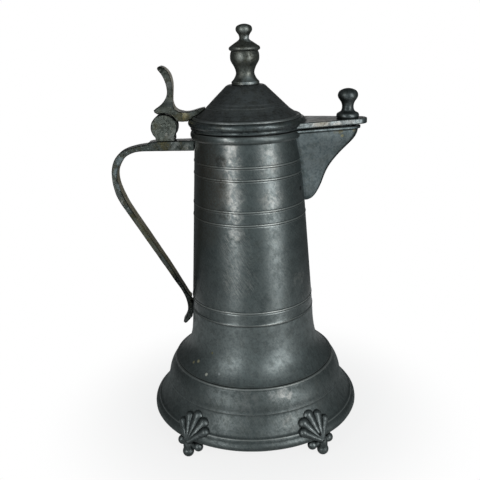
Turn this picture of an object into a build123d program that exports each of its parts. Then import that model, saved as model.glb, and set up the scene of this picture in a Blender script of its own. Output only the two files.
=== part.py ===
from build123d import *
import os
from math import asin, atan2, cos, hypot, radians, sin, sqrt

# A tall pewter pitcher that stands on four cast shell feet. Its lid is hinged at the
# handle and covers both the round mouth and the open top of the beak spout.
# The origin is on the vessel's axis at the floor. +X points to the spout, -X to the
# handle, and +Z up. All sizes are in millimetres.

# Driving dimensions of the vessel
rim_radius = 80.6
rim_bottom = 12.9
base_top = 52.6
seam_height = 94.3
seam_radius = 46.6
mouth_height = 229.2
body_taper = 0.065
wall = 1.8
ring_heights = (103.7, 167.9, 177.3, 199.2, 208.1)
ring_relief = 0.3

# Hinge
hinge_x = -59.0
hinge_z = 232.4
ear_radius = 9.6
ear_inner = 3.3
ear_outer = 7.4
pin_bore = 2.0
pin_radius = 1.95
knuckle_radius = 7.5
knuckle_half = 3.0
bracket_clearance = 0.5

# Lid
lid_gap = 0.4
lid_bottom = mouth_height + lid_gap
flange_top = 237.4
plateau_height = 260.2
bezel_radius = 35.0
plate_low = 230.3
plate_high = 234.5
knob_x = 72.4

# Feet
# Each foot's azimuth, and how far its shell sits askew: sideways in mm and turned in degrees
foot_places = {
    "foot_front_left": (-128.3, 1.0, 2),
    "foot_front_right": (-53.7, -2.0, -7),
    "foot_back_left": (128.3, 0, 0),
    "foot_back_right": (53.7, 0, 0),
}
ball_radius = 4.2
side_ball_radius = 3.5
foot_flat = 0.3

# Handle
handle_top = 222.7
handle_half_top = 6.0
handle_half_tail = 4.2

os.makedirs("parts", exist_ok=True)


def body_radius(z):
    """Outer radius of the tapered wall at a height."""
    return seam_radius + (seam_height - z) * body_taper


def ring_points(z):
    """Outline of one turned ring: a fine bead between two incised lines."""
    steps = ((-1.0, 0), (-0.75, -1), (-0.5, 0), (-0.2, 1), (0.2, 1), (0.5, 0), (0.75, -1), (1.0, 0))
    return [(body_radius(z + dz) + ring_relief * side, z + dz) for dz, side in steps]


def dome(edge, top):
    """Round top of a turned knob: an arc from its edge to its top, centred on the axis."""
    rise = top - edge[1]
    radius = (edge[0] ** 2 + rise**2) / (2 * rise)
    half_way = asin(edge[0] / radius) / 2
    ThreePointArc(edge, (radius * sin(half_way), top - radius * (1 - cos(half_way))), (0, top))


# The outside of the vessel, from the mouth down to the rim, as arcs and short lines
drum_outline = [(seam_radius + 0.3, seam_height), (seam_radius + 0.3, seam_height + 0.5)]
drum_outline += [(seam_radius - 0.1, seam_height + 0.9)]
for height in ring_heights:
    drum_outline += ring_points(height)
drum_outline += [(body_radius(mouth_height), mouth_height)]

flare_outer = [(seam_radius, seam_height), (47.2, 83.0), (48.1, 74.0), (49.8, 66.7)]
flare_outer += [(52.7, 60.9), (56.7, 56.1), (60.7, base_top)]
flare_inner = [(57.6, base_top), (51.3, 59.4), (48.0, 66.0), (46.2, 73.6)]
flare_inner += [(45.3, 83.0), (44.7, seam_height)]


def skirt_outside():
    """The stepped outside of the base, from the shelf under the flare to the rim's foot."""
    Line((61.2, base_top), (61.8, 52.1))
    ThreePointArc((61.8, 52.1), (66.3, 44.8), (68.4, 36.4))
    ThreePointArc((68.4, 36.4), (69.1, 35.4), (68.9, 34.6))
    ThreePointArc((68.9, 34.6), (72.0, 27.0), (76.2, 21.0))
    ThreePointArc((76.2, 21.0), (77.4, 20.9), (77.9, 19.8))
    ThreePointArc((77.9, 19.8), (80.0, 17.4), (rim_radius, 14.4))
    Line((rim_radius, 14.4), (rim_radius - 0.4, rim_bottom))


with BuildPart() as drum:
    with BuildSketch(Plane.XZ):
        with BuildLine():
            inside = [(body_radius(mouth_height) - wall, mouth_height), (seam_radius - wall, seam_height)]
            Polyline(*drum_outline, *inside, close=True)
        make_face()
    revolve(axis=Axis.Z)
    # The strainer behind the spout: rows of drilled holes that narrow downwards
    strainer_pitch = 6.5
    hole_radius = 1.7
    spots = [
        ((column - (count - 1) / 2) * strainer_pitch, 216.0 - row * strainer_pitch)
        for row, count in enumerate((5, 4, 3, 2, 1))
        for column in range(count)
    ]
    with BuildSketch(Plane.YZ.offset(30)):
        with Locations(*spots):
            Circle(hole_radius)
    extrude(amount=12, mode=Mode.SUBTRACT)

with BuildPart() as flare:
    with BuildSketch(Plane.XZ):
        with BuildLine():
            Spline(*flare_outer, tangents=[(0.065, -1), (1, -0.72)])
            Line(flare_outer[-1], flare_inner[0])
            Spline(*flare_inner, tangents=[(-1, 0.9), (-0.065, 1)])
            Line(flare_inner[-1], flare_outer[0])
        make_face()
    revolve(axis=Axis.Z)

with BuildPart() as skirt:
    with BuildSketch(Plane.XZ):
        with BuildLine():
            skirt_outside()
            Line((rim_radius - 0.4, rim_bottom), (rim_radius - 1.9, rim_bottom))
            Line((rim_radius - 1.9, rim_bottom), (78.0, 16.4))
            ThreePointArc((78.0, 16.4), (70.8, 25.6), (66.8, 34.6))
            ThreePointArc((66.8, 34.6), (64.4, 43.8), (60.4, 50.7))
            Line((60.4, 50.7), (54.0, 50.7))
            Line((54.0, 50.7), (54.0, base_top))
            Line((54.0, base_top), (61.2, base_top))
        make_face()
    revolve(axis=Axis.Z)

with BuildPart() as vessel_floor:
    with BuildSketch(Plane.XZ):
        with BuildLine():
            Line((0, base_top + 1.2), (50.0, base_top))
            Line((50.0, base_top), (56.2, base_top))
            Line((56.2, base_top), (55.4, base_top + 1.4))
            Line((55.4, base_top + 1.4), (50.0, base_top + 1.6))
            Line((50.0, base_top + 1.6), (0, base_top + 3.0))
            Line((0, base_top + 3.0), (0, base_top + 1.2))
        make_face()
    revolve(axis=Axis.Z)

# The filled outside of the vessel, used to cut what is fitted on it
with BuildPart() as vessel_core:
    with BuildSketch(Plane.XZ):
        with BuildLine():
            core_top = mouth_height + 20
            Polyline((0, core_top), (body_radius(mouth_height), core_top), drum_outline[-1])
            Polyline(*drum_outline[::-1])
            Line(drum_outline[0], flare_outer[0])
            Spline(*flare_outer, tangents=[(0.065, -1), (1, -0.72)])
            Line(flare_outer[-1], (61.2, base_top))
            skirt_outside()
            Polyline((rim_radius - 0.4, rim_bottom), (0, rim_bottom), (0, core_top))
        make_face()
    revolve(axis=Axis.Z)

# Spout: height, x of the nose, half width at the root, radius of the nose
root_x = 30.0
beak_levels = [
    (174.8, 42.0, 6.0, 1.6),
    (177.2, 47.7, 8.0, 2.2),
    (181.0, 50.6, 9.5, 2.8),
    (188.0, 54.0, 11.2, 3.4),
    (197.0, 57.6, 12.8, 4.2),
    (207.0, 64.6, 14.8, 5.4),
    (215.0, 72.4, 16.8, 6.2),
    (220.5, 77.6, 18.2, 6.9),
    (225.0, 79.7, 19.3, 7.4),
    (229.2, 80.5, 20.1, 8.0),
]


def beak_outline(level, inset):
    """One level outline of the beak: two straight sides that meet in a round nose."""
    z, nose_x, root_y, nose_r = level
    nose_x -= inset
    root_y -= inset
    nose_r = max(nose_r - inset, 0.6)
    centre_x = nose_x - nose_r
    reach = hypot(centre_x - root_x, root_y)
    lean = atan2(-root_y, centre_x - root_x) + asin(nose_r / reach)
    run = sqrt(reach**2 - nose_r**2)
    touch = (root_x + run * cos(lean), root_y + run * sin(lean))
    with BuildSketch(Plane.XY.offset(z)) as outline:
        with BuildLine():
            Line((root_x, root_y), touch)
            ThreePointArc(touch, (nose_x, 0), (touch[0], -touch[1]))
            Line((touch[0], -touch[1]), (root_x, -root_y))
            Line((root_x, -root_y), (root_x, root_y))
        make_face()
    return outline.sketch.face()


with BuildPart() as beak_solid:
    loft([beak_outline(level, 0) for level in beak_levels])

lip_height = 2.0
lip_relief = 1.2
beak_wall = 1.6
top_level = beak_levels[-1]
with BuildPart() as beak_lip:
    extrude(beak_outline((mouth_height - lip_height,) + top_level[1:], -lip_relief), amount=lip_height)

with BuildPart() as beak_hollow:
    loft([beak_outline(level, beak_wall) for level in beak_levels[1:]])
    extrude(beak_outline(top_level, beak_wall), amount=1)

with BuildPart() as spout:
    add(beak_solid.part)
    add(beak_lip.part)
    add(beak_hollow.part, mode=Mode.SUBTRACT)
    add(vessel_core.part, mode=Mode.SUBTRACT)

with BuildPart() as mouth_band:
    with BuildSketch(Plane.XZ):
        with BuildLine():
            band_low = 223.6
            Line((body_radius(band_low), band_low), (39.6, band_low))
            ThreePointArc((39.6, band_low), (40.9, 226.4), (40.0, mouth_height))
            Line((40.0, mouth_height), (body_radius(mouth_height), mouth_height))
            Line((body_radius(mouth_height), mouth_height), (body_radius(band_low), band_low))
        make_face()
    revolve(axis=Axis.Z)
    add(beak_solid.part, mode=Mode.SUBTRACT)
    add(beak_lip.part, mode=Mode.SUBTRACT)

# Handle, drawn from the side and narrowed towards its tail
with BuildPart() as handle:
    with BuildSketch(Plane.XZ):
        with BuildLine():
            Line((-34.0, handle_top), (-67.0, handle_top))
            Line((-67.0, handle_top), (-70.8, 222.0))
            Line((-70.8, 222.0), (-72.4, 220.6))
            Spline(
                (-72.4, 220.6), (-84.5, 218.5), (-93.6, 214.4), (-98.2, 207.6), (-99.9, 198.0),
                (-98.6, 187.0), (-92.5, 173.0), tangents=[(-1, -0.08), (0.5, -0.86)],
            )
            Line((-92.5, 173.0), (-56.4, 110.5))
            Spline(
                (-56.4, 110.5), (-52.9, 103.7), (-50.8, 96.9), (-50.7, 89.5), (-54.3, 81.2),
                tangents=[(0.5, -0.86), (-0.6, -0.8)],
            )
            ThreePointArc((-54.3, 81.2), (-54.0, 79.2), (-51.9, 79.1))
            Line((-51.9, 79.1), (-46.4, 85.0))
            Line((-46.4, 85.0), (-45.0, 95.0))
            Line((-45.0, 95.0), (-47.4, 97.6))
            Line((-47.4, 97.6), (-46.9, 100.4))
            Line((-46.9, 100.4), (-48.8, 102.8))
            Line((-48.8, 102.8), (-61.4, 126.9))
            Line((-61.4, 126.9), (-87.4, 172.5))
            Spline(
                (-87.4, 172.5), (-93.1, 185.2), (-95.5, 194.0), (-95.3, 201.5), (-92.4, 207.5),
                (-87.6, 212.6), (-83.0, 214.8), (-74.5, 215.8), tangents=[(-0.5, 0.87), (1, 0.02)],
            )
            Line((-74.5, 215.8), (-34.0, 215.0))
            Line((-34.0, 215.0), (-34.0, handle_top))
        make_face()
    extrude(amount=handle_half_top, both=True)
    with BuildSketch(Plane.YZ):
        Polygon(
            (-handle_half_tail, 70.0), (handle_half_tail, 70.0), (handle_half_top, 195.0),
            (handle_half_top, 230.0), (-handle_half_top, 230.0), (-handle_half_top, 195.0),
            align=None,
        )
    extrude(amount=-120, mode=Mode.INTERSECT)
    add(vessel_core.part, mode=Mode.SUBTRACT)

# Hinge: two round ears on a low block, with a slot between them for the knuckle
slot_floor = handle_top + 0.6
with BuildPart() as hinge_ears:
    with BuildSketch(Plane.XZ):
        with Locations((hinge_x, hinge_z)):
            Circle(ear_radius)
        Polygon((-64.6, 220.0), (-51.8, 220.0), (-51.8, 226.4), (-65.9, 226.4), align=None)
    extrude(amount=ear_outer, both=True)
    split(bisect_by=Plane.XY.offset(handle_top), keep=Keep.TOP)
    with BuildSketch(Plane.XZ):
        Polygon((-75.0, slot_floor), (-45.0, slot_floor), (-45.0, 245.0), (-75.0, 245.0), align=None)
    extrude(amount=ear_inner, both=True, mode=Mode.SUBTRACT)
    with BuildSketch(Plane.XZ):
        with Locations((hinge_x, hinge_z)):
            Circle(pin_bore)
    extrude(amount=ear_outer + 1, both=True, mode=Mode.SUBTRACT)
    round_edges = hinge_ears.edges().filter_by(GeomType.CIRCLE)
    chamfer(round_edges.filter_by(lambda e: e.radius > ear_radius - 0.1), 0.5)

pin_head_radius = 3.1
pin_head_height = 0.7
with BuildPart() as hinge_pin:
    with BuildSketch(Plane.XZ):
        with Locations((hinge_x, hinge_z)):
            Circle(pin_radius)
    extrude(amount=ear_outer, both=True)
    for head_plane in (Plane.XZ.offset(ear_outer), Plane.XZ.offset(-ear_outer - pin_head_height)):
        with BuildSketch(head_plane):
            with Locations((hinge_x, hinge_z)):
                Circle(pin_head_radius)
        extrude(amount=pin_head_height)
    outer_faces = hinge_pin.faces().sort_by(Axis.Y)
    fillet([outer_faces[0].edges()[0], outer_faces[-1].edges()[0]], 0.4)

# The filled outside of the lid, used to cut the bracket's arm
lid_cone_outline = [(14.2, 259.5), (31.2, 242.9), (36.6, 239.2)]
with BuildPart() as lid_core:
    with BuildSketch(Plane.XZ):
        with BuildLine():
            Polyline((0, 229.0), (0, plateau_height), (12.8, plateau_height), *lid_cone_outline)
            ThreePointArc((36.6, 239.2), (38.4, 238.9), (39.2, flange_top))
            Line((39.2, flange_top), (40.6, flange_top))
            ThreePointArc((40.6, flange_top), (42.3, 235.1), (40.9, 232.4))
            Polyline((40.9, 232.4), (39.4, 229.0), (0, 229.0))
        make_face()
    revolve(axis=Axis.Z)

bracket_radius = ear_radius + bracket_clearance
arc_start = (hinge_x + bracket_radius * cos(radians(24)), hinge_z + bracket_radius * sin(radians(24)))
arc_middle = (hinge_x + bracket_radius * cos(radians(68)), hinge_z + bracket_radius * sin(radians(68)))
arc_end = (hinge_x + bracket_radius * cos(radians(112)), hinge_z + bracket_radius * sin(radians(112)))
with BuildPart() as lid_bracket:
    with BuildSketch(Plane.XZ):
        with BuildLine():
            Spline(
                (-65.6, 245.0), (-60.2, 248.8), (-56.5, 253.8), (-55.6, 260.5), (-57.6, 267.8),
                (-60.6, 272.2), tangents=[(1, 0.5), (-0.6, 0.8)],
            )
            ThreePointArc((-60.6, 272.2), (-60.8, 274.2), (-59.2, 274.9))
            Spline(
                (-59.2, 274.9), (-53.8, 271.2), (-51.6, 265.0), (-51.3, 257.5), (-51.8, 250.0),
                (-50.4, 245.4), (-46.0, 243.0), (-41.0, 242.8), (-36.0, 243.9), (-29.4, 245.5),
            )
            Polyline((-29.4, 245.5), (-27.0, 236.0), (-41.0, 235.9), arc_start)
            ThreePointArc(arc_start, arc_middle, arc_end)
            Polyline(arc_end, (-65.0, 243.2), (-65.6, 245.0))
        make_face()
    extrude(amount=9, both=True)
    with BuildSketch(Plane.YZ):
        with BuildLine():
            Polyline((0, 228.0), (7.2, 228.0), (7.2, 244.5))
            Spline(
                (7.2, 244.5), (4.6, 250.0), (4.6, 257.0), (7.6, 266.0), (6.8, 272.5), (0, 275.5),
                tangents=[(0, 1), (-1, 0)],
            )
            Line((0, 275.5), (0, 228.0))
        make_face()
        mirror(about=Plane.YZ)
    extrude(amount=-90, mode=Mode.INTERSECT)
    with BuildSketch(Plane.XY.offset(220)):
        with BuildLine():
            Polyline((-47.5, -9.0), (-70.0, -9.0), (-70.0, 9.0), (-47.5, 9.0))
            Spline((-47.5, 9.0), (-42.0, 5.6), (-34.0, 4.4), (-27.6, 0), tangents=[(1, -1), (0, -1)])
            Spline((-27.6, 0), (-34.0, -4.4), (-42.0, -5.6), (-47.5, -9.0), tangents=[(0, -1), (-1, -1)])
        make_face()
    extrude(amount=60, mode=Mode.INTERSECT)
    add(lid_core.part, mode=Mode.SUBTRACT)
    with BuildSketch(Plane.XZ):
        with Locations((hinge_x, hinge_z)):
            Circle(knuckle_radius)
        Polygon((-61.5, 243.1), (-49.6, 238.5), (-52.5, hinge_z), (-65.5, hinge_z), align=None)
    extrude(amount=knuckle_half, both=True)
    with BuildSketch(Plane.XZ):
        with Locations((hinge_x, hinge_z)):
            Circle(pin_bore)
    extrude(amount=knuckle_half + 1, both=True, mode=Mode.SUBTRACT)

# Lid
with BuildPart() as lid_cone:
    with BuildSketch(Plane.XZ):
        with BuildLine():
            Polyline((0, 258.4), (0, plateau_height), (12.8, plateau_height), lid_cone_outline[0])
            Polyline(lid_cone_outline[0], (26.2, 247.8), (26.2, 247.4), (26.9, 247.1))
            Polyline((26.9, 247.1), (28.2, 245.85), (28.2, 245.4), (28.9, 245.15))
            Polyline((28.9, 245.15), *lid_cone_outline[1:])
            ThreePointArc((36.6, 239.2), (38.4, 238.9), (39.2, flange_top))
            Polyline((39.2, flange_top), (36.4, flange_top), (29.9, 241.8), (13.2, 258.4), (0, 258.4))
        make_face()
    revolve(axis=Axis.Z)

with BuildPart() as cover_plate:
    with BuildSketch(Plane.XY.offset(plate_low)):
        with BuildLine():
            tip_radius = 7.6
            tip_x = 86.4
            tip_turn = radians(72)
            edge = (tip_x - tip_radius + tip_radius * cos(tip_turn), tip_radius * sin(tip_turn))
            Line((30.0, 23.4), edge)
            ThreePointArc(edge, (tip_x, 0), (edge[0], -edge[1]))
            Line((edge[0], -edge[1]), (30.0, -23.4))
            Line((30.0, -23.4), (30.0, 23.4))
        make_face()
    extrude(amount=plate_high - plate_low)
    rim_edges = [e for e in cover_plate.edges().filter_by(Plane.XY) if e.center().X > 31]
    chamfer(rim_edges, 0.5)

with BuildPart() as lid_flange:
    with BuildSketch(Plane.XZ):
        with BuildLine():
            Line((bezel_radius, lid_bottom), (39.4, lid_bottom))
            ThreePointArc((39.4, lid_bottom), (40.7, 230.7), (40.5, 231.9))
            Line((40.5, 231.9), (40.9, 232.4))
            ThreePointArc((40.9, 232.4), (42.3, 235.1), (40.6, flange_top))
            Line((40.6, flange_top), (bezel_radius, flange_top))
            Line((bezel_radius, flange_top), (bezel_radius, lid_bottom))
        make_face()
    revolve(axis=Axis.Z)
    add(cover_plate.part)
    with BuildSketch(Plane.XY.offset(220)):
        Circle(bezel_radius)
    extrude(amount=30, mode=Mode.SUBTRACT)

with BuildPart() as lid_bezel:
    with BuildSketch(Plane.XY.offset(225.2)):
        Circle(bezel_radius)
        Circle(bezel_radius - 1.4, mode=Mode.SUBTRACT)
    extrude(amount=8)

# The turned knob on the lid: a cap on a neck, over an urn, a waist and a base ring
with BuildPart() as finial:
    with BuildSketch(Plane.XZ):
        with BuildLine():
            Line((0, plateau_height), (9.9, plateau_height))
            Line((9.9, plateau_height), (9.9, 262.6))
            Spline(
                (9.9, 262.6), (7.6, 265.0), (6.5, 268.3), (7.6, 272.2), (10.0, 276.6), (10.2, 280.6),
                (9.5, 283.0), tangents=[(-1, 0.5), (-0.5, 1)],
            )
            Line((9.5, 283.0), (10.7, 283.8))
            ThreePointArc((10.7, 283.8), (11.0, 284.8), (10.6, 285.8))
            Spline((10.6, 285.8), (7.0, 288.3), (3.9, 290.4), (3.4, 292.0), tangents=[(-1, 0.5), (0, 1)])
            Spline((3.4, 292.0), (3.9, 293.8), (4.9, 295.2), tangents=[(0, 1), (0.8, 1)])
            ThreePointArc((4.9, 295.2), (5.8, 297.4), (4.9, 299.6))
            dome((4.9, 299.6), 301.0)
            Line((0, 301.0), (0, plateau_height))
        make_face()
    revolve(axis=Axis.Z)

with BuildPart() as spout_knob:
    with BuildSketch(Plane(origin=(knob_x, 0, 0), x_dir=(1, 0, 0), z_dir=(0, -1, 0))):
        with BuildLine():
            Line((0, plate_high), (7.6, plate_high))
            ThreePointArc((7.6, plate_high), (8.1, 236.2), (7.5, 237.8))
            Spline(
                (7.5, 237.8), (4.8, 239.6), (4.1, 242.4), (4.7, 245.3), (6.6, 248.2),
                tangents=[(-1, 0.35), (0.7, 1)],
            )
            ThreePointArc((6.6, 248.2), (7.1, 251.2), (5.6, 253.6))
            dome((5.6, 253.6), 255.2)
            Line((0, 255.2), (0, plate_high))
        make_face()
    revolve(axis=Axis((knob_x, 0, 0), (0, 0, 1)))

# Each foot is made at azimuth 0 with the vessel's radius along +X, then turned to its place: a
# shell of five lobes that touch each other on the skirt and run together in front of the rim, a
# thick leg below them, a ball and two smaller side balls
leg_x = 81.2
ball_height = ball_radius - foot_flat
ball_joint_rise = 1.6
flat_radius = sqrt(ball_radius**2 - ball_height**2)
shell_up = Vector(-0.655, 0, 0.756).normalized()
lobe_root = 1.5
lobes = ((-42, 19.6, 3.5), (-21, 22.8, 4.1), (0, 25.0, 4.5), (21, 22.8, 4.1), (42, 19.6, 3.5))
side_ball = (leg_x - 2.7, 7.8, 9.0)
neck_start = (side_ball[0] + 0.6, -side_ball[1], side_ball[2])
feet = {}
for foot_name, (azimuth, aside, turn) in foot_places.items():
    shell_root = Vector(83.0, aside, 12.6)
    with BuildPart() as foot_form:
        for lean, length, tip in lobes:
            tilt = radians(lean + turn)
            along = shell_up * cos(tilt) + Vector(0, sin(tilt), 0)
            across = Vector(0, cos(tilt), 0) - shell_up * sin(tilt)
            lobe_plane = Plane(origin=shell_root, x_dir=across, z_dir=across.cross(along))
            with BuildSketch(lobe_plane):
                with BuildLine():
                    Polyline((0, length), (0, 0), (lobe_root, 0), (tip, length - tip))
                    RadiusArc((tip, length - tip), (0, length), -tip)
                make_face()
            revolve(axis=Axis(shell_root, lobe_plane.y_dir))
        with BuildSketch(Plane(origin=(leg_x, 0, 0), x_dir=(1, 0, 0), z_dir=(0, -1, 0))):
            with BuildLine():
                ball_joint = (sqrt(ball_radius**2 - ball_joint_rise**2), ball_height + ball_joint_rise)
                Polyline((0, 0), (0, 15.4), (1.2, 15.4))
                Spline((1.2, 15.4), (2.9, 12.6), (3.5, 9.0), ball_joint, tangents=[(1, -0.8), (0.5, -1)])
                ThreePointArc(ball_joint, (ball_radius, ball_height), (flat_radius, 0))
                Line((flat_radius, 0), (0, 0))
            make_face()
        revolve(axis=Axis((leg_x, 0, 0), (0, 0, 1)))
        with BuildSketch(Plane(origin=neck_start, x_dir=(1, 0, 0), z_dir=(0, 1, 0))):
            Circle(2.7)
        extrude(amount=2 * side_ball[1])
        with Locations((side_ball[0], -side_ball[1], side_ball[2]), side_ball):
            Sphere(side_ball_radius)
        split(bisect_by=Plane.XY, keep=Keep.TOP)
    with BuildPart() as foot:
        add(foot_form.part.rotate(Axis.Z, azimuth))
        add(vessel_core.part, mode=Mode.SUBTRACT)
    feet[foot_name] = foot

pieces = {
    "drum": drum,
    "mouth_band": mouth_band,
    "flare": flare,
    "vessel_floor": vessel_floor,
    "skirt": skirt,
    "spout": spout,
    "handle": handle,
    "hinge_ears": hinge_ears,
    "hinge_pin": hinge_pin,
    "lid_bracket": lid_bracket,
    "lid_flange": lid_flange,
    "lid_cone": lid_cone,
    "lid_bezel": lid_bezel,
    "finial": finial,
    "spout_knob": spout_knob,
    **feet,
}
for name, piece in pieces.items():
    piece.part.label = name
    export_step(piece.part, f"parts/{name}.step")
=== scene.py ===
# %% [markdown]
# A tall pewter pitcher with a hinged lid, built as a lesson in Blender.
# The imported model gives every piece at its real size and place. This file gives each piece its
# finished surface: turned parts are spun again with their fine rings, cast and sheet parts are
# worked over with soft worn edges, and every kind of pewter gets its own aged finish.

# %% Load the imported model
from math import asin, atan2, cos, hypot, pi, radians, sin, tanh

import bpy
from mathutils import Euler, Matrix, Vector


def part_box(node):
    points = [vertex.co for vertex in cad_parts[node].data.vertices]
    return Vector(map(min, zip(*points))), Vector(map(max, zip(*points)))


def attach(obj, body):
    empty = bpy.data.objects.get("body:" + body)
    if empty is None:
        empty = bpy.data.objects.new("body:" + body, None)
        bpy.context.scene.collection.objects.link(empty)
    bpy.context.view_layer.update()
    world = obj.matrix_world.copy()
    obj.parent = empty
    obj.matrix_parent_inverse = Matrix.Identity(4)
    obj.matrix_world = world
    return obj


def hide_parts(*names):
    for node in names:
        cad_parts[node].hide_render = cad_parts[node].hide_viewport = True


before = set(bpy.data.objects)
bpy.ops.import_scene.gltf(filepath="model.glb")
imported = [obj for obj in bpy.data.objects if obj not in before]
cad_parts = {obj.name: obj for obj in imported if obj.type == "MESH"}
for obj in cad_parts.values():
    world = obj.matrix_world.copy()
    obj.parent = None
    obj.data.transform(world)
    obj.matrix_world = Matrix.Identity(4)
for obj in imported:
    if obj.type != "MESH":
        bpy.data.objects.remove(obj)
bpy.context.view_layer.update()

MM = 0.001

# %% [markdown]
# The camera stands where the photograph was taken from: a little above the lid, close by, looking
# down, and rolled slightly, so that the pitcher leans to the left in the frame. A lens of 49.5 mm
# on a 36 mm sensor gives the photograph's perspective. Rotations are set in the order tilt, turn, roll.

# %% Camera
camera_place = Vector((0.0, -477.6, 299.55)) * MM
camera_down = radians(17.96)
camera_turn = radians(0.95)
camera_roll = radians(-2.09)

bpy.ops.object.camera_add(location=camera_place)
camera = bpy.context.object
look = Euler((pi / 2 - camera_down, 0, camera_turn)).to_matrix()
camera.rotation_euler = (look @ Matrix.Rotation(camera_roll, 3, "Z")).to_euler()
camera.data.lens = 49.5
camera.data.sensor_width = 36.0
camera.data.clip_start = 0.01
bpy.context.scene.camera = camera
bpy.context.scene.view_settings.view_transform = "Standard"
print("camera at", [round(v / MM, 1) for v in camera.location], "mm")


# %% [markdown]
# Colours are picked as web hex values, as the eye sees them on a screen. Shaders work in linear
# light, so one function turns each hex value to linear. A second small function adds a node,
# sets its own settings and fills its sockets, each with a value or with another node.

# %% Helpers for materials
def linear(hex_colour):
    """A hex colour as linear red, green, blue and alpha."""
    parts = [int(hex_colour[i:i + 2], 16) / 255 for i in (1, 3, 5)]
    return [c / 12.92 if c <= 0.04045 else ((c + 0.055) / 1.055) ** 2.4 for c in parts] + [1.0]


def add(tree, kind, settings, sockets):
    """A new node: its settings by name, and its sockets by name or number."""
    made = tree.nodes.new("ShaderNode" + kind)
    for key, value in settings.items():
        setattr(made, key, value)
    for key, value in sockets.items():
        if isinstance(value, bpy.types.Node):
            value = next(o for o in value.outputs if o.enabled)
        if isinstance(value, bpy.types.NodeSocket):
            tree.links.new(value, made.inputs[key])
        else:
            made.inputs[key].default_value = value
    return made


# %% [markdown]
# The pitcher stands on a small round table of white paper. Near the foot the eye sees white with a
# share of the lit paper, which brings the soft shadow, and further out plain white. The metal
# mirrors the lit paper near the foot, and white in the table's outer ring. Light paths tell the
# camera's own rays from those that metal or glass has sent on.

# %% Table
table_radius = 0.30
bpy.ops.mesh.primitive_circle_add(vertices=96, radius=table_radius, fill_type="NGON", location=(0, 0, 0))
table = bpy.context.object
table.name = "studio_table"
print("table across, mm:", round(2 * table_radius / MM))


# %% Paper on the table
def rays(tree):
    """The shares of the camera's own rays, and of rays that metal or glass has sent on."""
    path = add(tree, "LightPath", {}, {})
    sent = add(tree, "Math", {"operation": "MAXIMUM"}, {
        0: path.outputs["Is Glossy Ray"], 1: path.outputs["Is Transmission Ray"]})
    return path.outputs["Is Camera Ray"], sent


table_paper = bpy.data.materials.new("matt white studio paper")
table_paper.use_nodes = True
paper = table_paper.node_tree
paper.nodes.clear()
paper_place = add(paper, "TexCoord", {}, {})
paper_far = add(paper, "VectorMath", {"operation": "LENGTH"}, {0: paper_place.outputs["Object"]})
paper_fade = add(paper, "MapRange", {"interpolation_type": "SMOOTHSTEP"}, {
    "Value": paper_far.outputs["Value"], "From Min": 0.075, "From Max": 0.18, "To Min": 0.84, "To Max": 1.0})
paper_mirror = add(paper, "MapRange", {"interpolation_type": "SMOOTHSTEP"}, {
    "Value": paper_far.outputs["Value"], "From Min": 0.17, "From Max": 0.32, "To Min": 0.0, "To Max": 1.0})
paper_camera, paper_sent = rays(paper)
paper_seen = add(paper, "Math", {"operation": "MULTIPLY"}, {0: paper_fade, 1: paper_camera})
paper_mirrored = add(paper, "Math", {"operation": "MULTIPLY"}, {0: paper_mirror, 1: paper_sent})
paper_share = add(paper, "Math", {"operation": "MAXIMUM"}, {0: paper_seen, 1: paper_mirrored})
paper_lit = add(paper, "BsdfDiffuse", {}, {"Color": linear("#d4d6d6")})
paper_white = add(paper, "Emission", {}, {"Color": linear("#ffffff"), "Strength": 1.0})
paper_mix = add(paper, "MixShader", {}, {0: paper_share, 1: paper_lit, 2: paper_white})
add(paper, "OutputMaterial", {}, {"Surface": paper_mix})
table.data.materials.append(table_paper)
print(table_paper.name, "has", len(paper.nodes), "nodes")

# %% [markdown]
# The room is what the metal mirrors beyond the table. It is grey, brightest on the camera's side,
# a little to the right, and it has a white backdrop straight behind the pitcher. The eye sees it
# plain white all over.

# %% Room
room_bright_side = (0.25, -0.97, 0.0)
world = bpy.data.worlds.new("studio room")
bpy.context.scene.world = world
world.use_nodes = True
room = world.node_tree
room.nodes.clear()
room_place = add(room, "TexCoord", {}, {})
room_front = add(room, "VectorMath", {"operation": "DOT_PRODUCT"}, {
    0: room_place.outputs["Generated"], 1: room_bright_side})
room_light = add(room, "MapRange", {}, {
    "Value": room_front.outputs["Value"], "From Min": -0.7, "From Max": 1.0, "To Min": 0.0, "To Max": 1.0})
room_tone = add(room, "Mix", {"data_type": "RGBA"}, {
    0: room_light, 6: linear("#565858"), 7: linear("#9eaaab")})
room_grey = add(room, "Background", {}, {"Color": room_tone, "Strength": 1.0})
room_white = add(room, "Background", {}, {"Color": linear("#ffffff"), "Strength": 1.0})
room_axes = add(room, "SeparateXYZ", {}, {0: room_place.outputs["Generated"]})
backdrop = add(room, "MapRange", {"interpolation_type": "SMOOTHSTEP"}, {
    "Value": room_axes.outputs["Y"], "From Min": 0.96, "From Max": 0.995, "To Min": 0.0, "To Max": 1.0})
room_camera, room_sent = rays(room)
room_mirrored = add(room, "Math", {"operation": "MULTIPLY"}, {0: backdrop, 1: room_sent})
room_share = add(room, "Math", {"operation": "MAXIMUM"}, {0: room_camera, 1: room_mirrored})
room_mix = add(room, "MixShader", {}, {0: room_share, 1: room_grey, 2: room_white})
add(room, "OutputWorld", {}, {"Surface": room_mix})
print(world.name, "has", len(room.nodes), "nodes")


# %% [markdown]
# Two upright softboxes stand left and right of the camera and reach a little below the table's
# level. Their reflections are the two soft vertical streaks on the pitcher's wall. Their tops
# lean, because the photograph's streaks do.

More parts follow.
